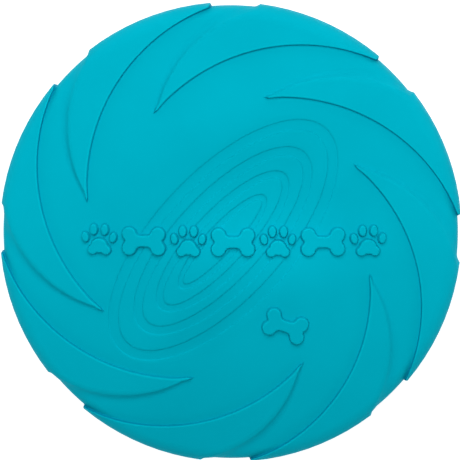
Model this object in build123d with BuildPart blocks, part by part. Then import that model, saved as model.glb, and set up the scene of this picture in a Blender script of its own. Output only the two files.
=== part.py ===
from build123d import *
from math import asin, cos, degrees, radians, sin
import os

# A soft rubber flying disc: a closed dome with a down-turned rim, eight raised spiral vanes, four shallow
# elliptical grooves in its crown and a row of raised paws and bones across the middle.
# Millimetres and degrees. +Z is up. The origin is the centre of the circle that the rim rests on.

# ---------------------------------------------------------------- driving dimensions
outer_diameter = 180.0        # over the vanes, where they run down the side of the rim
crown_height = 30.0           # plain crown above the surface that the rim rests on
vane_relief = 1.5             # how far the vanes stand above the plain surface
emblem_relief = 2.0           # how far the emblems stand above it
wall = 3.0                    # thickness of the dome

dome_radius = 260.0           # of the spherical crown
shoulder_start = 84.0         # distance from the axis where the crown rolls over into the shoulder

rim_width = 6.0               # of the thick edge, from its side to its inner wall
rim_round = 2.0               # on both edges of the resting face
root_round = 2.0              # inside, where the rim's inner wall meets the dome

vane_count = 8
vane_tip_distance = 56.8      # from the axis to a vane's pointed inner end
vane_first_tip = 164.7        # direction of the first tip, counter-clockwise from +X
vane_front_sweep = 72.2       # angle that the steep edge turns through, clockwise, from tip to rim
vane_front_radius = 73.0      # radius of that edge in plan
vane_back_sweep = 38.5        # the same two sizes for the gentle edge
vane_back_radius = 50.0
vane_foot = 2.5               # height where the vanes end on the side of the rim

groove_depth = 0.5
groove_turn = 47.6            # direction of the grooves' long axis
groove_centre = (-2.2, -0.9)
groove_sizes = [              # half length, half width and width of each groove
    (59.2, 26.8, 4.2),
    (47.0, 18.8, 3.8),
    (35.9, 12.0, 3.1),
    (24.4, 6.6, 2.3),
]

emblem_centre = (2.0, -0.8)
emblem_gap = 1.5
paw_width = 14.2
bone_length = 17.4
emblem_order = ["paw", "bone", "paw", "bone", "paw", "bone", "paw"]
small_bone_centre = (22.1, -33.7)
small_bone_turn = -20.0

# ---------------------------------------------------------------- derived sizes
base_radius = outer_diameter / 2 - vane_relief
inner_radius = base_radius - rim_width
dome_centre_z = crown_height - dome_radius
shoulder_angle = degrees(asin(shoulder_start / dome_radius))
shoulder_radius = (base_radius - shoulder_start) / (1 - shoulder_start / dome_radius)
shoulder_centre_r = base_radius - shoulder_radius
shoulder_centre_z = dome_centre_z + (dome_radius - shoulder_radius) * cos(radians(shoulder_angle))
parting_plane = Plane.XY.offset(shoulder_centre_z)
below = -10.0                 # safely under the disc
outside = outer_diameter      # safely outside it

os.makedirs("parts", exist_ok=True)


def polar(distance, angle):
    """The point at a distance from the axis, in a direction counter-clockwise from +X."""
    return (distance * cos(radians(angle)), distance * sin(radians(angle)))


def under_surface(offset, floor):
    """Solid disc under the surface that lies `offset` outside the plain one, flat at height `floor`."""
    with BuildPart() as solid:
        with BuildSketch(Plane.XZ):
            with BuildLine():
                crown = CenterArc(
                    (0, dome_centre_z), dome_radius + offset, 90 - shoulder_angle, shoulder_angle
                )
                shoulder = CenterArc(
                    (shoulder_centre_r, shoulder_centre_z), shoulder_radius + offset, 0, 90 - shoulder_angle
                )
                Polyline(shoulder @ 0, (base_radius + offset, floor), (0, floor), crown @ 1)
            make_face()
        revolve(axis=Axis.Z)
    return solid.part


def export_node(name, part):
    """Label a finished piece and write it as its own STEP file."""
    part.label = name
    export_step(part, f"parts/{name}.step")


# ---------------------------------------------------------------- surfaces that the pieces share
plain_disc = under_surface(0, below)
vane_disc = under_surface(vane_relief, vane_foot)
emblem_disc = under_surface(emblem_relief, vane_foot)
groove_floor_disc = under_surface(-groove_depth, below)

with BuildPart() as groove_rings:
    with BuildSketch(parting_plane):
        with Locations(Location((*groove_centre, 0), groove_turn)):
            for half_length, half_width, width in groove_sizes:
                Ellipse(half_length, half_width)
                Ellipse(half_length - width, half_width - width, mode=Mode.SUBTRACT)
    extrude(amount=crown_height)
    add(groove_floor_disc, mode=Mode.SUBTRACT)

# ---------------------------------------------------------------- shell and rim
# The disc without its relief. It parts at its widest circle, where the two halves of a mould would meet.
# The hollow leaves a dome of even thickness and a thick rim, with a soft corner where they meet.
with BuildPart() as hollow:
    with BuildSketch(Plane.XY):
        Circle(inner_radius)
    extrude(amount=crown_height)
    add(under_surface(-wall, below), mode=Mode.INTERSECT)
    wall_edges = hollow.faces().filter_by(GeomType.CYLINDER).edges()
    fillet(wall_edges.filter_by(GeomType.CIRCLE).sort_by(Axis.Z)[-1], root_round)

with BuildPart() as moulding:
    add(plain_disc)
    split(bisect_by=Plane.XY, keep=Keep.TOP)
    add(hollow.part, mode=Mode.SUBTRACT)
    resting_face = moulding.faces().filter_by(Plane.XY).sort_by(Axis.Z)[0]
    fillet(resting_face.edges(), rim_round)

# The dome and its shoulder, with the grooves in the crown.
with BuildPart() as disc_shell:
    add(moulding.part)
    split(bisect_by=parting_plane, keep=Keep.TOP)
    add(groove_rings.part, mode=Mode.SUBTRACT)
export_node("disc_shell", disc_shell.part)

# The thick down-turned edge that the disc rests on and that the fingers curl round.
with BuildPart() as rim:
    add(moulding.part)
    split(bisect_by=parting_plane, keep=Keep.BOTTOM)
export_node("rim", rim.part)

# ---------------------------------------------------------------- vanes
# Each vane is a crescent in plan that follows the dome, rolls over the shoulder and ends on the rim's side.
for index in range(vane_count):
    tip_angle = vane_first_tip - index * 360 / vane_count
    tip = polar(vane_tip_distance, tip_angle)
    front_end = polar(outer_diameter / 2, tip_angle - vane_front_sweep)
    back_end = polar(outer_diameter / 2, tip_angle - vane_back_sweep)
    with BuildPart() as vane:
        with BuildSketch(Plane.XY):
            with BuildLine():
                RadiusArc(tip, front_end, vane_front_radius)
                Polyline(
                    front_end,
                    polar(outside, tip_angle - vane_front_sweep),
                    polar(outside, tip_angle - vane_back_sweep),
                    back_end,
                )
                RadiusArc(back_end, tip, -vane_back_radius)
            make_face()
        extrude(amount=2 * crown_height)
        add(vane_disc, mode=Mode.INTERSECT)
        add(plain_disc, mode=Mode.SUBTRACT)
    export_node(f"vane_{index + 1}", vane.part)

# ---------------------------------------------------------------- emblems


def paw_outline():
    """A paw print: one broad pad with two lobes below, and four toes."""
    with Locations((0, -2.1)):
        Ellipse(3.5, 3.2)
    for side in (-1, 1):
        with Locations((side * 2.6, -3.8)):
            Circle(2.2)
        with Locations((side * 2.15, 4.1)):
            Ellipse(1.8, 2.5)
        with Locations(Location((side * 5.4, 1.1, 0), -side * 12)):
            Ellipse(1.7, 2.35)


def bone_outline():
    """A bone lying along X: a shaft and two round knuckles at each end."""
    knuckle = 3.1
    Rectangle(bone_length - 2 * knuckle, 5.0)
    with GridLocations(bone_length - 2 * knuckle, 5.4, 2, 2):
        Circle(knuckle)


def emblem(outline, centre, turn):
    """A raised emblem that follows the dome and fills the grooves under it."""
    with BuildPart() as piece:
        with BuildSketch(Plane((*centre, shoulder_centre_z), x_dir=(*polar(1, turn), 0))):
            outline()
        extrude(amount=crown_height)
        add(emblem_disc, mode=Mode.INTERSECT)
        add(groove_floor_disc, mode=Mode.SUBTRACT)
        add(disc_shell.part, mode=Mode.SUBTRACT)
    return piece.part


emblem_widths = {"paw": paw_width, "bone": bone_length}
outlines = {"paw": paw_outline, "bone": bone_outline}
row_length = sum(emblem_widths[kind] for kind in emblem_order) + emblem_gap * (len(emblem_order) - 1)
left = emblem_centre[0] - row_length / 2
for index, kind in enumerate(emblem_order):
    middle = left + emblem_widths[kind] / 2
    piece = emblem(outlines[kind], (middle, emblem_centre[1]), 0)
    export_node(f"emblem_{kind}_{index // 2 + 1}", piece)
    left += emblem_widths[kind] + emblem_gap

export_node("emblem_small_bone", emblem(bone_outline, small_bone_centre, small_bone_turn))
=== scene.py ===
from math import asin, atan2, cos, degrees, pi, radians, sin, sqrt, tau

import bmesh
import bpy
import numpy as np
from mathutils import Matrix, Vector
from mathutils.geometry import delaunay_2d_cdt


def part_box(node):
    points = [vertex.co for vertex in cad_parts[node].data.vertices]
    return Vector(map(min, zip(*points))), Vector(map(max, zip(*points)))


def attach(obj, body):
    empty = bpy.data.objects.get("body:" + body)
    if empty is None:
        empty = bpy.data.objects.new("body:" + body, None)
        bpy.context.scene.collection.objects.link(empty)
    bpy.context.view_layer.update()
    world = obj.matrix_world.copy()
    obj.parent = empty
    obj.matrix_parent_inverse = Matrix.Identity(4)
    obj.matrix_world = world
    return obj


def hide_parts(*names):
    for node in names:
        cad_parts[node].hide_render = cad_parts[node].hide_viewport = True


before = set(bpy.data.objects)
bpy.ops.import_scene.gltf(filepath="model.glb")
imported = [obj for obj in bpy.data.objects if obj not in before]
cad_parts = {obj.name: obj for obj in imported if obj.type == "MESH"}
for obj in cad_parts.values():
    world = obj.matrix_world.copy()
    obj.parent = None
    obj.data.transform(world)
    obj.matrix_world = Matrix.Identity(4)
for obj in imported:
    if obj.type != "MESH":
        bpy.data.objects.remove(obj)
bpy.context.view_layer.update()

# -------------------------------- sizes, in millimetres and degrees
MM = 0.001

BASE_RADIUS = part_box("rim")[1].x / MM            # the plain disc, without its vanes
CROWN_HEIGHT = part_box("disc_shell")[1].z / MM
PARTING_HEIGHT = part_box("disc_shell")[0].z / MM  # the widest circle, where shell and rim meet

DOME_RADIUS = 260.0
SHOULDER_START = 84.0         # distance from the axis at which the dome rolls over
WALL = 3.0
RIM_WIDTH = 6.0
RIM_ROUND = 2.0
ROOT_ROUND = 2.0              # inside, where the rim's wall meets the dome
SEAM_BEAD = 0.08              # how proud the mould's faint line stands at the parting;
SEAM_HALF = 0.1               # it is flat this far to each side of it,
SEAM_END = 0.4                # and gone at this distance
AROUND = 384                  # points round the shell and the rim

VANE_COUNT = 8
VANE_RELIEF = 1.5
VANE_TIP = 56.4               # distance of the tips from the axis
VANE_FIRST_TIP = 164.7        # direction of the first tip; the others follow clockwise
VANE_NOSE = 0.3               # the vanes rise this far out from the tip,
VANE_FOOT = 2.5               # end on the rim's side at this height,
VANE_FADE = 1.8               # and fade out over this length above it
FULL_HEIGHT_ROOM = 1 / 3      # share of its walls' width at which a vane has its full height
VANE_REACH = 0.5              # how far past the plain disc the outline's arcs are followed
VANE_ROOT = 0.25              # how deep the vanes reach into the shell
VANE_ROWS = (83, 33, 10)      # rows of points on the dome, on the shoulder and on the side
VANE_CROWDING = 1.7           # over 1, the rows on the dome lie closer towards the tip
FRONT_SWEEP = 72.2            # how far round the steep edge runs, from the tip to the rim
FRONT_RADIUS = 73.0           # radius of its arc
FRONT_WALL = (1.45, 1.1)      # width of the steep edge in plan, at the tip and at the rim
FRONT_SHARES = (0, 0.1, 0.2, 0.3, 0.4, 0.48, 0.57, 0.66, 0.76, 0.87)  # its points, across it
BACK_SWEEP = 38.5             # the same for the gentle edge
BACK_RADIUS = 50.0
BACK_WALL = (1.5, 5.0)        # width of the gentle edge in plan, at the tip and at the rim
BACK_OUTSIDE = 0.85           # share of that width outside the edge's line
BACK_STEPS = 14

GROOVE_DEPTH = 0.42
GROOVE_WALL = 0.55            # width of a groove's soft wall
GROOVE_TURN = 47.6
GROOVE_CENTRE = (-2.2, -0.9)
# half length, half width and groove width of the ellipses, from the outside in
GROOVES = ((59.2, 26.8, 4.2), (47.0, 18.8, 3.8), (35.9, 12.0, 3.1), (24.4, 6.6, 2.3))

EMBLEM_HEIGHT = 2.0
EMBLEM_ROOT = 0.9             # how deep the emblems reach, past the floor of the grooves
EMBLEM_EDGE = 1.2             # width of their walls in plan
EMBLEM_CENTRE = (2.0, -0.8)
EMBLEM_GAP = 1.5
EMBLEM_ORDER = ("paw", "bone", "paw", "bone", "paw", "bone", "paw")
PAW_WIDTH = 14.2
BONE_LENGTH = 17.4
SMALL_BONE_CENTRE = (22.1, -33.7)
SMALL_BONE_TURN = -20.0

# -------------------------------- looks
RUBBER_DEEP = (0.0, 0.375, 0.490, 1)
RUBBER_PALE = (0.0, 0.395, 0.512, 1)
PAINTED_SHADE_TINT = (0.0, -0.22, -0.15)  # what painted shade of 1 in a crease takes off the colour, as a share
FRONT_PAINTED_SHADE = (0.85, 1.5)    # painted shade in the foot of a vane's steep edge,
FRONT_PAINTED_SHADE_AT = (70, 87)    # at these distances from the axis and past them
# painted shade on a vane's gentle edge
BACK_PAINTED_SHADE = 0.1
# painted shade on the emblems' walls
EMBLEM_PAINTED_SHADE = 0.5
CREST_PAINTED_HIGHLIGHT = -0.4           # painted highlight: the crests are a little paler than the plain surface

TONE = 0.952                  # brightness of the middle of the crown, as a share
PAINTED_LIGHT_REACH = 90.0             # distance from the middle at which these two are added in full: painted light growing towards both sides, and a painted slope from lighter at -X to darker at +X
PAINTED_LIGHT_SIDES = 0.09
PAINTED_LIGHT_SLOPE = -0.02
PAINTED_LIGHT_PATCHES = (              # painted highlight where the amount is above 0, painted shade where it is below: amount, centre, turn, half length and half width of soft ellipses
    (0.11, (14.9, -1.6), 0.0, 55.0, 25.0),
    (-0.06, (13.7, 36.0), 12.0, 49.0, 19.0),
    (-0.05, (-11.7, -35.0), 25.0, 28.0, 14.0),
)

# -------------------------------- the plain surface that all pieces share
OUTER_RADIUS = BASE_RADIUS + VANE_RELIEF
DOME_CENTRE = CROWN_HEIGHT - DOME_RADIUS
SHOULDER_ANGLE = asin(SHOULDER_START / DOME_RADIUS)
SHOULDER_RADIUS = (BASE_RADIUS - SHOULDER_START) / (1 - SHOULDER_START / DOME_RADIUS)
SHOULDER_R = BASE_RADIUS - SHOULDER_RADIUS
SHOULDER_Z = DOME_CENTRE + (DOME_RADIUS - SHOULDER_RADIUS) * cos(SHOULDER_ANGLE)
DOME_LENGTH = DOME_RADIUS * SHOULDER_ANGLE
SIDE_START = DOME_LENGTH + SHOULDER_RADIUS * (pi / 2 - SHOULDER_ANGLE)  # the upright side begins


def smooth(t):
    """0 to 1 with a soft start and end."""
    t = np.clip(t, 0, 1)
    return t * t * (3 - 2 * t)


def rounded(t, bend=0.4, rise=0.84):
    """0 to 1 in a steep straight wall up to the bend, and then a rounded crest."""
    top = np.clip((t - bend) / (1 - bend), 0, 1)
    return np.where(t < bend, t / bend * rise, rise + (1 - rise) * (1 - (1 - top) ** 3))


def trailing(t, power=3.2, gain=1.05):
    """0 to 1 with a long soft foot, and steepest just under its crest."""
    return np.minimum(gain * t**power, 1)


def profile(s):
    """Distance from the axis, height and slope angle at a path length s down the plain surface."""
    s = np.asarray(s, float)
    dome = s / DOME_RADIUS
    bend = np.clip(SHOULDER_ANGLE + (s - DOME_LENGTH) / SHOULDER_RADIUS, 0, pi / 2)
    drop = np.maximum(s - SIDE_START, 0)
    crown = s <= DOME_LENGTH
    r = np.where(crown, DOME_RADIUS * np.sin(dome), SHOULDER_R + SHOULDER_RADIUS * np.sin(bend))
    z = np.where(
        crown,
        DOME_CENTRE + DOME_RADIUS * np.cos(dome),
        SHOULDER_Z + SHOULDER_RADIUS * np.cos(bend) - drop,
    )
    return r, z, np.where(crown, dome, bend)


def place(s, angle, height):
    """Points at a path length and direction, raised square to the plain surface."""
    r, z, slope = profile(s)
    r = r + np.sin(slope) * height
    z = z + np.cos(slope) * height
    return np.stack(np.broadcast_arrays(r * np.cos(angle), r * np.sin(angle), z), -1)


def on_dome(x, y, height):
    """Points of the dome over plan points, raised square to it."""
    return place(DOME_RADIUS * np.arcsin(np.hypot(x, y) / DOME_RADIUS), np.arctan2(y, x), height)


# -------------------------------- meshes


def mesh_piece(name, points, faces, material, sharp=(), painted_shading=None):
    """A smooth-shaded piece from points in millimetres.

    Edges with both ends in one of the sharp sets stay crisp. The painted shading, a value for each
    point, deepens the rubber's colour there as painted shade, and lightens it as a painted
    highlight where it is below 0.
    """
    mesh = bpy.data.meshes.new(name)
    mesh.from_pydata((np.asarray(points) * MM).tolist(), [], faces)
    if painted_shading is not None:
        attribute = mesh.attributes.new("painted_shading", "FLOAT", "POINT")
        attribute.data.foreach_set("value", np.asarray(painted_shading, np.float32))
    edit = bmesh.new()
    edit.from_mesh(mesh)
    for group in sharp:
        members = set(group)
        for edge in edit.edges:
            if edge.verts[0].index in members and edge.verts[1].index in members:
                edge.smooth = False
    bmesh.ops.remove_doubles(edit, verts=edit.verts, dist=0.002 * MM)
    bmesh.ops.recalc_face_normals(edit, faces=edit.faces)
    for face in edit.faces:
        face.smooth = True
    edit.to_mesh(mesh)
    edit.free()
    mesh.materials.append(material)
    piece = bpy.data.objects.new(name, mesh)
    bpy.context.scene.collection.objects.link(piece)
    return piece


def ring_faces(first, second, count):
    """Quads between two closed loops of the same length, given by their first point."""
    faces = []
    for i in range(count):
        after = (i + 1) % count
        faces.append((first + i, first + after, second + after, second + i))
    return faces


def strip_faces(first, count):
    """Faces that close a flat loop by joining each point to the one opposite its long axis."""
    faces = [(first, first + 1, first + count - 1)]
    for i in range(1, count // 2 - 1):
        faces.append((first + i, first + i + 1, first + count - i - 1, first + count - i))
    half = first + count // 2
    faces.append((half - 1, half, half + 1))
    return faces


def own(piece, *nodes):
    """The piece stands for these CAD nodes."""
    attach(piece, "root")
    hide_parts(*nodes)


# -------------------------------- material


def rubber_material():
    """Matt moulded rubber: fine grain, slight unevenness of tone, painted shade in its creases and
    painted highlight on its crests, and painted light and shade over the crown.
    """
    material = bpy.data.materials.new("teal_rubber")
    material.use_nodes = True
    nodes, links = material.node_tree.nodes, material.node_tree.links
    shader = nodes["Principled BSDF"]
    shader.inputs["Specular IOR Level"].default_value = 0.012
    shader.inputs["Specular Tint"].default_value = (0.0, 0.75, 0.95, 1)
    shader.inputs["IOR"].default_value = 1.45
    where = nodes.new("ShaderNodeTexCoord").outputs["Object"]

    def noise(scale, detail, roughness=0.5):
        node = nodes.new("ShaderNodeTexNoise")
        node.inputs["Scale"].default_value = scale
        node.inputs["Detail"].default_value = detail
        node.inputs["Roughness"].default_value = roughness
        links.new(where, node.inputs["Vector"])
        return node.outputs["Fac"]

    def spread(value, low, high):
        """The middle of a noise's range, spread from low to high."""
        node = nodes.new("ShaderNodeMapRange")
        node.inputs["From Min"].default_value = 0.3
        node.inputs["From Max"].default_value = 0.7
        node.inputs["To Min"].default_value = low
        node.inputs["To Max"].default_value = high
        links.new(value, node.inputs["Value"])
        return node.outputs["Result"]

    def maths(operation, *values):
        node = nodes.new("ShaderNodeMath")
        node.operation = operation
        for socket, value in zip(node.inputs, values):
            if isinstance(value, float):
                socket.default_value = value
            else:
                links.new(value, socket)
        return node.outputs["Value"]

    def painted_patch(amount, centre, turn, half_length, half_width):
        """A patch of painted highlight where the amount is above 0 and of painted shade where it is
        below: an amount in the middle of an ellipse on the crown, falling softly to 0 at its edge.
        """
        mapping = nodes.new("ShaderNodeMapping")
        mapping.vector_type = "TEXTURE"
        mapping.inputs["Location"].default_value = (centre[0] * MM, centre[1] * MM, 0)
        mapping.inputs["Rotation"].default_value = (0, 0, radians(turn))
        mapping.inputs["Scale"].default_value = (half_length * MM, half_width * MM, 10)
        links.new(where, mapping.inputs["Vector"])
        gradient = nodes.new("ShaderNodeTexGradient")
        gradient.gradient_type = "SPHERICAL"
        links.new(mapping.outputs["Vector"], gradient.inputs["Vector"])
        soft = nodes.new("ShaderNodeMapRange")
        soft.interpolation_type = "SMOOTHSTEP"
        soft.inputs["From Max"].default_value = 0.8
        soft.inputs["To Max"].default_value = amount
        links.new(gradient.outputs["Fac"], soft.inputs["Value"])
        return soft.outputs["Result"]

    def painted_light():
        """Painted light over the disc: its brightness grows towards both sides, and it has a few
        soft patches of painted highlight and painted shade.
        """
        axes = nodes.new("ShaderNodeSeparateXYZ")
        links.new(where, axes.inputs["Vector"])
        across = maths("DIVIDE", axes.outputs["X"], PAINTED_LIGHT_REACH * MM)
        value = maths("MULTIPLY_ADD", maths("MULTIPLY", across, across), PAINTED_LIGHT_SIDES, TONE)
        value = maths("MULTIPLY_ADD", across, PAINTED_LIGHT_SLOPE, value)
        for amount, centre, turn, half_length, half_width in PAINTED_LIGHT_PATCHES:
            value = maths("ADD", value, painted_patch(amount, centre, turn, half_length, half_width))
        return value

    def bump(height, strength, distance, normal=None):
        node = nodes.new("ShaderNodeBump")
        node.inputs["Strength"].default_value = strength
        node.inputs["Distance"].default_value = distance
        links.new(height, node.inputs["Height"])
        if normal:
            links.new(normal, node.inputs["Normal"])
        return node.outputs["Normal"]

    colour = nodes.new("ShaderNodeMix")
    colour.data_type = "RGBA"
    colour.inputs["A"].default_value = RUBBER_DEEP
    colour.inputs["B"].default_value = RUBBER_PALE
    links.new(spread(noise(28, 3), 0, 1), colour.inputs["Factor"])
    # painted light: the colour scaled by the painted brightness over the disc
    painted_light_colour = nodes.new("ShaderNodeVectorMath")
    painted_light_colour.operation = "SCALE"
    links.new(colour.outputs["Result"], painted_light_colour.inputs["Vector"])
    links.new(painted_light(), painted_light_colour.inputs["Scale"])
    # painted shade in the creases and painted highlight on the crests, from each piece's point
    # values
    painted_shading = nodes.new("ShaderNodeAttribute")
    painted_shading.attribute_name = "painted_shading"
    painted_shade_factor = nodes.new("ShaderNodeVectorMath")
    painted_shade_factor.operation = "MULTIPLY_ADD"
    painted_shade_factor.inputs[1].default_value = PAINTED_SHADE_TINT
    painted_shade_factor.inputs[2].default_value = (1, 1, 1)
    links.new(painted_shading.outputs["Vector"], painted_shade_factor.inputs[0])
    painted_shade_colour = nodes.new("ShaderNodeVectorMath")
    painted_shade_colour.operation = "MULTIPLY"
    links.new(painted_light_colour.outputs["Vector"], painted_shade_colour.inputs[0])
    links.new(painted_shade_factor.outputs["Vector"], painted_shade_colour.inputs[1])
    links.new(painted_shade_colour.outputs["Vector"], shader.inputs["Base Color"])

    links.new(spread(noise(160, 3), 0.5, 0.62), shader.inputs["Roughness"])
    uneven = bump(noise(120, 2), strength=0.25, distance=0.4 * MM)
    grain = bump(noise(2600, 3, 0.6), strength=0.35, distance=0.06 * MM, normal=uneven)
    links.new(grain, shader.inputs["Normal"])
    return material


rubber = rubber_material()

# -------------------------------- disc shell
turn_angles = np.linspace(0, tau, AROUND, endpoint=False) + radians(GROOVE_TURN)


def ellipse_loop(half_length, half_width):
    """Plan points of an ellipse of the groove pattern."""
    turn = radians(GROOVE_TURN)
    u = half_length * np.cos(turn_angles - turn)
    v = half_width * np.sin(turn_angles - turn)
    return (
        GROOVE_CENTRE[0] + u * cos(turn) - v * sin(turn),
        GROOVE_CENTRE[1] + u * sin(turn) + v * cos(turn),
    )


def groove_loops():
    """Half length, half width and height of each loop of the grooves, from the outside in."""
    loops = []
    half = GROOVE_WALL / 2
    steps = np.linspace(-1, 1, 9)
    for index, (half_length, half_width, width) in enumerate(GROOVES):
        for inner in (False, True):
            for step in steps:
                inset = step * half + (width if inner else 0)
                sunk = smooth((step + 1) / 2)
                depth = GROOVE_DEPTH * (1 - sunk if inner else sunk)
                loops.append((half_length - inset, half_width - inset, -depth))
            if not inner:
                for share in (0.33, 0.67):
                    inset = half + share * (width - 2 * half)
                    loops.append((half_length - inset, half_width - inset, -GROOVE_DEPTH))
        if index + 1 < len(GROOVES):
            last, following = loops[-1], GROOVES[index + 1]
            for share in (0.2, 0.4, 0.6, 0.8):
                loops.append((
                    last[0] + share * (following[0] + half - last[0]),
                    last[1] + share * (following[1] + half - last[1]),
                    0.0,
                ))
    last = loops[-1]
    for share in (0.3, 0.6, 0.85):
        loops.append((last[0] - share * last[1], last[1] * (1 - share), 0.0))
    return loops


def circle(s):
    """A loop at a path length down the plain surface."""
    return place(np.full(AROUND, s), turn_angles, 0.0)


def flat_circle(r, z):
    """A loop at a distance from the axis and a height."""
    return np.stack([r * np.cos(turn_angles), r * np.sin(turn_angles), np.full(AROUND, z)], -1)


def arc_rings(centre, radius, start, end, steps):
    """Profile points round an arc, angles in degrees from outwards to up."""
    angles = np.radians(np.linspace(start, end, steps))
    return [(centre[0] + radius * cos(a), centre[1] + radius * sin(a)) for a in angles]


def build_shell():
    """The dome and shoulder, with soft-walled grooves, and the hollow underside."""
    loops = []
    pattern = groove_loops()
    for half_length, half_width, height in reversed(pattern):
        x, y = ellipse_loop(half_length, half_width)
        loops.append(on_dome(x, y, height))
    edge_x, edge_y = ellipse_loop(pattern[0][0], pattern[0][1])
    morph_radius = 70.0           # by here the loops have become circles
    for share in np.linspace(0, 1, 14)[1:]:
        x = edge_x + share * (morph_radius * np.cos(turn_angles) - edge_x)
        y = edge_y + share * (morph_radius * np.sin(turn_angles) - edge_y)
        loops.append(on_dome(x, y, 0.0))
    morph_length = DOME_RADIUS * asin(morph_radius / DOME_RADIUS)
    for s in np.linspace(morph_length, DOME_LENGTH, 6)[1:]:
        loops.append(circle(s))
    for s in np.linspace(DOME_LENGTH, SIDE_START, 20)[1:-1]:
        loops.append(circle(s))
    loops.append(flat_circle(BASE_RADIUS, PARTING_HEIGHT + SEAM_END))
    loops.append(flat_circle(BASE_RADIUS + SEAM_BEAD, PARTING_HEIGHT + SEAM_HALF))
    seam = len(loops)
    loops.append(flat_circle(BASE_RADIUS + SEAM_BEAD, PARTING_HEIGHT))
    inner_radius = BASE_RADIUS - RIM_WIDTH
    inner_dome = DOME_RADIUS - WALL
    root_r = inner_radius - ROOT_ROUND
    root_z = DOME_CENTRE + sqrt((inner_dome - ROOT_ROUND) ** 2 - root_r**2)
    root_angle = asin(root_r / (inner_dome - ROOT_ROUND))
    under = [(inner_radius, z) for z in np.linspace(PARTING_HEIGHT, root_z, 4)[:-1]]
    under += arc_rings((root_r, root_z), ROOT_ROUND, 0, 90 - degrees(root_angle), 8)
    for angle in np.linspace(root_angle, 0, 20)[1:-1]:
        under.append((inner_dome * sin(angle), DOME_CENTRE + inner_dome * cos(angle)))
    loops += [flat_circle(r, z) for r, z in under]
    points = np.concatenate(loops + [[[0, 0, CROWN_HEIGHT - WALL]]])
    faces = strip_faces(0, AROUND)
    for index in range(len(loops) - 1):
        faces += ring_faces(index * AROUND, (index + 1) * AROUND, AROUND)
    last = (len(loops) - 1) * AROUND
    apex = len(points) - 1
    faces += [(last + i, last + (i + 1) % AROUND, apex) for i in range(AROUND)]
    crisp = [range(index * AROUND, (index + 1) * AROUND) for index in (seam, seam + 1)]
    return mesh_piece("rubber_shell", points, faces, rubber, crisp)


own(build_shell(), "disc_shell")

# -------------------------------- rim


def build_rim():
    """The thick edge below the parting: side, rounded foot, flat resting face and inner wall."""
    inner_radius = BASE_RADIUS - RIM_WIDTH
    section = [(BASE_RADIUS + SEAM_BEAD, PARTING_HEIGHT - depth) for depth in (0, SEAM_HALF)]
    section += [(BASE_RADIUS, z) for z in np.linspace(PARTING_HEIGHT - SEAM_END, RIM_ROUND, 5)[:-1]]
    section += arc_rings((BASE_RADIUS - RIM_ROUND, RIM_ROUND), RIM_ROUND, 0, -90, 10)
    section += arc_rings((inner_radius + RIM_ROUND, RIM_ROUND), RIM_ROUND, -90, -180, 10)
    section += [(inner_radius, z) for z in np.linspace(RIM_ROUND, PARTING_HEIGHT, 4)[1:]]
    loops = [flat_circle(r, z) for r, z in section]
    faces = []
    for index in range(len(loops)):
        faces += ring_faces(index * AROUND, ((index + 1) % len(loops)) * AROUND, AROUND)
    last = (len(loops) - 1) * AROUND
    crisp = [range(AROUND), range(last, last + AROUND)]
    return mesh_piece("rubber_rim", np.concatenate(loops), faces, rubber, crisp)


own(build_rim(), "rim")

# -------------------------------- vanes


def edge_angle(r, sweep, arc_radius):
    """Direction, from the tip's, of the arc that runs clockwise from a vane's tip to the rim."""
    tip = Vector((VANE_TIP, 0))
    end = Vector((OUTER_RADIUS * cos(radians(sweep)), -OUTER_RADIUS * sin(radians(sweep))))
    chord = end - tip
    inward = Vector((chord.y, -chord.x)).normalized()
    centre = (tip + end) / 2 + inward * sqrt(arc_radius**2 - (chord.length / 2) ** 2)
    reach = centre.length
    cosine = (r**2 + reach**2 - arc_radius**2) / (2 * r * reach)
    return atan2(centre.y, centre.x) + np.arccos(np.clip(cosine, -1, 1))


def front_angle(r):
    return edge_angle(r, FRONT_SWEEP, FRONT_RADIUS)


def back_angle(r):
    return edge_angle(r, BACK_SWEEP, BACK_RADIUS)


def vane_rows():
    """Path lengths from the tip, where the rows lie closest, over the shoulder to the foot."""
    tip = DOME_RADIUS * asin(VANE_TIP / DOME_RADIUS)
    foot = SIDE_START + SHOULDER_Z - VANE_FOOT
    dome_rows, shoulder_rows, side_rows = VANE_ROWS
    return np.concatenate([
        tip + (DOME_LENGTH - tip) * np.linspace(0, 1, dome_rows + 1)[:-1] ** VANE_CROWDING,
        np.linspace(DOME_LENGTH, SIDE_START, shoulder_rows + 1)[:-1],
        np.linspace(SIDE_START, foot, side_rows),
    ])


def slab_faces(cols, rows):
    """Faces of a closed slab: two grids of points, one over the other, and four narrow sides."""

    def point(layer, column, row):
        return (layer * cols + column) * rows + row

    faces = []
    for layer in (0, 1):
        for column in range(cols - 1):
            for row in range(rows - 1):
                faces.append((
                    point(layer, column, row), point(layer, column, row + 1),
                    point(layer, column + 1, row + 1), point(layer, column + 1, row),
                ))
    for column in (0, cols - 1):
        for row in range(rows - 1):
            faces.append((
                point(0, column, row), point(0, column, row + 1),
                point(1, column, row + 1), point(1, column, row),
            ))
    for row in (0, rows - 1):
        for column in range(cols - 1):
            faces.append((
                point(0, column, row), point(0, column + 1, row),
                point(1, column + 1, row), point(1, column, row),
            ))
    return faces


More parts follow.
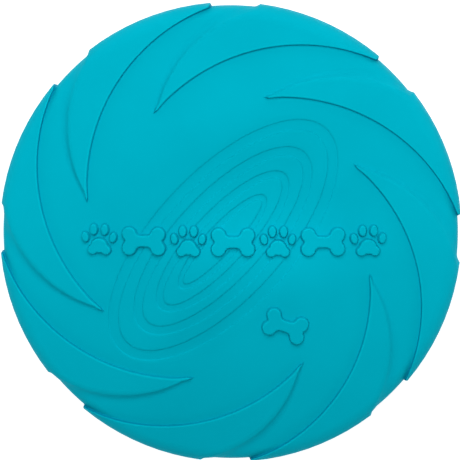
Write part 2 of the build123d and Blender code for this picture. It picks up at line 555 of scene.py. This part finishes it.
def build_vane(index):
    """A crescent that follows the dome, rolls over the shoulder and fades out on the rim's side."""
    s = vane_rows()
    tip, foot = s[0], s[-1]
    r, _, slope = profile(s)
    roll = np.clip((slope - SHOULDER_ANGLE) / (pi / 2 - SHOULDER_ANGLE), 0, 1)
    reach = r + VANE_REACH * roll
    front, back = front_angle(reach), back_angle(reach)
    front[0] = back[0] = 0.0
    progress = (s - tip) / (SIDE_START - tip)
    front_slant, back_slant = r * np.gradient(front, s), r * np.gradient(back, s)
    front_wall = np.interp(progress, (0, 1), FRONT_WALL) * np.sqrt(1 + front_slant**2)
    back_wall = np.interp(progress, (0, 1), BACK_WALL) * np.sqrt(1 + back_slant**2)
    width = r * (back - front) + BACK_OUTSIDE * back_wall
    room = np.minimum(1, width / (front_wall + back_wall))  # under 1 where both walls don't fit
    front_wall, back_wall = front_wall * room, back_wall * room
    ends = smooth((s - tip) / VANE_NOSE) * smooth((foot - s) / VANE_FADE)
    height = VANE_RELIEF * smooth(room / FULL_HEIGHT_ROOM) * ends

    columns = [(front_wall * share, rounded(share)) for share in FRONT_SHARES]
    for share in np.linspace(0, 1, 10):
        columns.append((front_wall + share * (width - front_wall - back_wall), 1.0))
    for share in np.linspace(1, 0, BACK_STEPS + 1)[1:]:
        columns.append((width - back_wall * share, trailing(share)))
    tip_direction = radians(VANE_FIRST_TIP - index * 360 / VANE_COUNT)

    def raised(across, rise):
        """A column of points, each on the outline's arcs as seen from above, at any height."""
        out = np.clip(r + np.sin(slope) * height * rise, reach, BASE_RADIUS + VANE_REACH)
        share = across / width
        shift = (1 - share) * (front_angle(out) - front) + share * (back_angle(out) - back)
        return place(s, tip_direction + front + shift + across / r, height * rise)

    top = [raised(across, rise) for across, rise in columns]
    sunk = [place(s, tip_direction + front + across / r, -VANE_ROOT) for across, _ in columns]
    rows, cols = len(s), len(columns)
    crisp = [range(rows), range((cols - 1) * rows, cols * rows)]
    wall = len(FRONT_SHARES)
    painted_shading = np.zeros((2, cols, rows))
    # painted shade in the foot of the steep edge, deeper towards the rim
    painted_shading[:, :wall // 2] = np.interp(r, FRONT_PAINTED_SHADE_AT, FRONT_PAINTED_SHADE)
    # painted highlight on the steep edge's rounded crest
    painted_shading[:, wall // 2:wall] = CREST_PAINTED_HIGHLIGHT
    # painted shade on the gentle edge
    painted_shading[:, -BACK_STEPS + 2:-2] = BACK_PAINTED_SHADE
    painted_shading[:, :, s - tip < 0.85 * VANE_NOSE] = FRONT_PAINTED_SHADE[0]  # painted shade all across the blunt tip
    points = np.concatenate(top + sunk)
    faces = slab_faces(cols, rows)
    return mesh_piece(f"raised_vane_{index + 1}", points, faces, rubber, crisp, painted_shading.ravel())


for number in range(VANE_COUNT):
    own(build_vane(number), f"vane_{number + 1}")

# -------------------------------- emblems


def evenly(points, spacing=0.22):
    """A closed outline with its points spread evenly."""
    points = np.vstack([points, points[:1]])
    lengths = np.concatenate([[0], np.cumsum(np.hypot(*np.diff(points, axis=0).T))])
    count = int(lengths[-1] / spacing)
    at = np.linspace(0, lengths[-1], count, endpoint=False)
    return np.stack([np.interp(at, lengths, points[:, k]) for k in (0, 1)], -1)


def arc(centre, radius, start, end, count=40):
    """Plan points along an arc, from one angle to another."""
    angles = np.radians(np.linspace(start, end, count))
    return np.stack([centre[0] + radius * np.cos(angles), centre[1] + radius * np.sin(angles)], -1)


def turned(x, y, centre, turn):
    """Plan points turned about the origin, in degrees, and moved to a centre."""
    t = radians(turn)
    return np.stack([centre[0] + x * cos(t) - y * sin(t), centre[1] + x * sin(t) + y * cos(t)], -1)


def oval(centre, half_width, half_height, turn=0.0):
    """The outline of a turned ellipse."""
    a = np.linspace(0, tau, 200, endpoint=False)
    return evenly(turned(half_width * np.cos(a), half_height * np.sin(a), centre, turn))


def pad_outline():
    """One broad pad with two lobes below: the soft union of an ellipse and two circles."""
    # centre and half sizes of each
    lobes = ((0, 0.4, 3.5, 3.2), (-2.6, -1.3, 2.2, 2.2), (2.6, -1.3, 2.2, 2.2))
    sharpness = 20
    drop = 2.5
    directions = np.linspace(0, tau, 400, endpoint=False)
    reach = 0
    for x, y, half_width, half_height in lobes:
        across, up = np.cos(directions) / half_width, np.sin(directions) / half_height
        a, b = across**2 + up**2, across * x / half_width + up * y / half_height
        c = (x / half_width) ** 2 + (y / half_height) ** 2 - 1
        root = b**2 - a * c
        exit_distance = np.where(root > 0, (b + np.sqrt(np.maximum(root, 0))) / a, 0)
        reach = reach + np.maximum(exit_distance, 0) ** sharpness
    reach = reach ** (1 / sharpness)
    return evenly(np.stack([reach * np.cos(directions), reach * np.sin(directions) - drop], -1))


def paw_outlines():
    """A pad and four toes."""
    outlines = [pad_outline()]
    for side in (-1, 1):
        outlines.append(oval((side * 2.15, 4.1), 1.8, 2.5))
        outlines.append(oval((side * 5.4, 1.1), 1.7, 2.35, -side * 12))
    return outlines


def bone_outlines():
    """A bone along X: a shaft with two round knuckles at each end, with soft inner corners."""
    knuckle, spread, shaft = 3.1, 2.7, 2.5
    waist, notch = 1.6, 0.7
    end = BONE_LENGTH / 2 - knuckle
    waist_x = end - sqrt((knuckle + waist) ** 2 - (shaft + waist - spread) ** 2)
    notch_x = end + sqrt((knuckle + notch) ** 2 - spread**2)
    to_knuckle = degrees(atan2(spread - shaft - waist, end - waist_x))
    to_notch = degrees(atan2(-spread, notch_x - end))
    quarter = np.concatenate([
        arc((waist_x, shaft + waist), waist, -90, to_knuckle),
        arc((end, spread), knuckle, to_knuckle + 180, to_notch),
        arc((notch_x, 0), notch, to_notch + 180, 180),
    ])
    flip_y, flip_x = np.array([1, -1]), np.array([-1, 1])
    half = np.concatenate([quarter, (quarter * flip_y)[::-1][1:]])
    return [evenly(np.concatenate([half, (half * flip_x)[::-1]]))]


def fill_ring(ring, first, level, points, faces):
    """Fills a closed ring, whose points start at an index, with a triangulated flat face."""
    count = len(ring)
    spacing = 0.6
    low, high = ring.min(0), ring.max(0)
    across, up = np.arange(low[0], high[0], spacing), np.arange(low[1], high[1], spacing)
    plan = [Vector(p) for p in ring] + [Vector((x, y)) for x in across for y in up]
    edges = [(i, (i + 1) % count) for i in range(count)]
    inside_only, epsilon = 1, 1e-5
    verts, _, triangles, origins, _, _ = delaunay_2d_cdt(
        plan, edges, [list(range(count))], inside_only, epsilon
    )
    mapping = []
    for vert, origin in zip(verts, origins):
        ring_members = [o for o in origin if o < count]
        if ring_members:
            mapping.append(first + ring_members[0])
        else:
            mapping.append(len(points))
            points.append((vert.x, vert.y, level))
    faces += [tuple(mapping[i] for i in triangle) for triangle in triangles]


def raised_solid(outline, points, faces):
    """Adds one raised shape to the lists: soft walls in rings, a filled top and a filled root."""
    step = np.roll(outline, -1, 0) - np.roll(outline, 1, 0)
    normal = np.stack([step[:, 1], -step[:, 0]], -1) / np.hypot(*step.T)[:, None]
    x, y = outline.T
    area = np.sum(x * np.roll(y, -1) - y * np.roll(x, -1))
    normal = normal if area > 0 else -normal
    count = len(outline)
    rings = [(outline, -EMBLEM_ROOT)]
    for share in np.linspace(0, 1, 10):
        rings.append((outline - normal * EMBLEM_EDGE * share, EMBLEM_HEIGHT * rounded(share)))
    base = len(points)
    for ring, height in rings:
        points += [(x, y, height) for x, y in ring]
    for index in range(len(rings) - 1):
        faces += ring_faces(base + index * count, base + (index + 1) * count, count)
    fill_ring(rings[-1][0], base + (len(rings) - 1) * count, EMBLEM_HEIGHT, points, faces)
    fill_ring(outline, base, -EMBLEM_ROOT, points, faces)


def build_emblem(name, outlines, centre, turn=0.0):
    """Raised shapes laid on the dome, which reach down into the grooves under them."""
    points, faces = [], []
    for outline in outlines:
        raised_solid(outline, points, faces)
    points = np.array(points)
    x, y = turned(points[:, 0], points[:, 1], centre, turn).T
    on_wall = points[:, 2] < 0.8 * EMBLEM_HEIGHT
    on_crest = points[:, 2] < 0.99 * EMBLEM_HEIGHT
    # painted shade on the walls, painted highlight on the rounded crests
    painted_shading = np.where(on_wall, EMBLEM_PAINTED_SHADE, np.where(on_crest, CREST_PAINTED_HIGHLIGHT, 0.0))
    return mesh_piece(name, on_dome(x, y, points[:, 2]), faces, rubber, (), painted_shading)


shapes = {"paw": (paw_outlines, PAW_WIDTH), "bone": (bone_outlines, BONE_LENGTH)}
row_length = sum(shapes[kind][1] for kind in EMBLEM_ORDER) + EMBLEM_GAP * (len(EMBLEM_ORDER) - 1)
left = EMBLEM_CENTRE[0] - row_length / 2
for position, kind in enumerate(EMBLEM_ORDER):
    outlines, width = shapes[kind]
    number = position // 2 + 1
    centre = (left + width / 2, EMBLEM_CENTRE[1])
    piece = build_emblem(f"raised_{kind}_{number}", outlines(), centre)
    own(piece, f"emblem_{kind}_{number}")
    left += width + EMBLEM_GAP
small_bone = build_emblem("raised_small_bone", bone_outlines(), SMALL_BONE_CENTRE, SMALL_BONE_TURN)
own(small_bone, "emblem_small_bone")

# -------------------------------- floor, light and camera


def floor_plane():
    """A plain pale floor, wide enough to fill every view."""
    mesh = bpy.data.meshes.new("floor")
    half = 3.0
    corners = [(-half, -half, 0), (half, -half, 0), (half, half, 0), (-half, half, 0)]
    mesh.from_pydata(corners, [], [(0, 1, 2, 3)])
    floor = bpy.data.objects.new("floor", mesh)
    bpy.context.scene.collection.objects.link(floor)
    material = bpy.data.materials.new("floor_white")
    material.use_nodes = True
    shader = material.node_tree.nodes["Principled BSDF"]
    shader.inputs["Base Color"].default_value = (0.5, 0.5, 0.5, 1)
    shader.inputs["Roughness"].default_value = 0.9
    shader.inputs["Specular IOR Level"].default_value = 0.1
    shader.inputs["Emission Color"].default_value = (1, 1, 1, 1)
    shader.inputs["Emission Strength"].default_value = 0.85
    mesh.materials.append(material)
    return floor


def area_light(name, azimuth, elevation, distance, size, power):
    """A soft box that looks at the disc from a direction."""
    light = bpy.data.lights.new(name, "AREA")
    light.shape = "RECTANGLE"
    light.size, light.size_y = size
    light.energy = power
    lamp = bpy.data.objects.new(name, light)
    a, e = radians(azimuth), radians(elevation)
    direction = Vector((cos(e) * cos(a), cos(e) * sin(a), sin(e)))
    lamp.location = direction * distance
    lamp.rotation_euler = direction.to_track_quat("Z", "Y").to_euler()
    bpy.context.scene.collection.objects.link(lamp)


def studio_world(overhead, horizon):
    """White all round, with a brightness overhead and another at the horizon."""
    world = bpy.data.worlds.new("studio")
    world.use_nodes = True
    nodes, links = world.node_tree.nodes, world.node_tree.links
    background = nodes["Background"]
    background.inputs["Color"].default_value = (1, 1, 1, 1)
    where = nodes.new("ShaderNodeTexCoord")
    axes = nodes.new("ShaderNodeSeparateXYZ")
    rise = nodes.new("ShaderNodeMapRange")
    rise.interpolation_type = "SMOOTHSTEP"
    rise.inputs["From Max"].default_value = 0.4
    rise.inputs["To Min"].default_value = horizon
    rise.inputs["To Max"].default_value = overhead
    links.new(where.outputs["Generated"], axes.inputs["Vector"])
    links.new(axes.outputs["Z"], rise.inputs["Value"])
    links.new(rise.outputs["Result"], background.inputs["Strength"])
    bpy.context.scene.world = world


def camera(lean, towards, distance, width, shift, height):
    """Looks down at a point of the axis, leaning from straight above, with +Y up in the picture."""
    data = bpy.data.cameras.new("camera")
    data.sensor_width = 36.0
    data.lens = data.sensor_width * distance / width
    data.clip_start = 0.01
    data.clip_end = 20.0
    rig = bpy.data.objects.new("camera", data)
    a, e = radians(towards), radians(lean)
    back = Vector((sin(e) * cos(a), sin(e) * sin(a), cos(e)))
    right = Vector((0, 1, 0)).cross(back).normalized()
    up = back.cross(right)
    target = Vector((0, 0, height)) + right * shift[0] + up * shift[1]
    rotation = Matrix((right, up, back)).transposed().to_4x4()
    rig.matrix_world = Matrix.Translation((target + back * distance) * MM) @ rotation
    bpy.context.scene.collection.objects.link(rig)
    bpy.context.scene.camera = rig


floor_plane()
studio_world(overhead=0.12, horizon=1.2)
area_light("key", azimuth=85, elevation=59, distance=0.8, size=(0.5, 0.5), power=4.4)
area_light("top", azimuth=82, elevation=88, distance=1.0, size=(0.7, 0.7), power=4.0)
camera(lean=7.8, towards=70.3, distance=2655.0, width=179.4, shift=(-0.3, 0.8), height=6.0)
bpy.context.scene.view_settings.view_transform = "Standard"
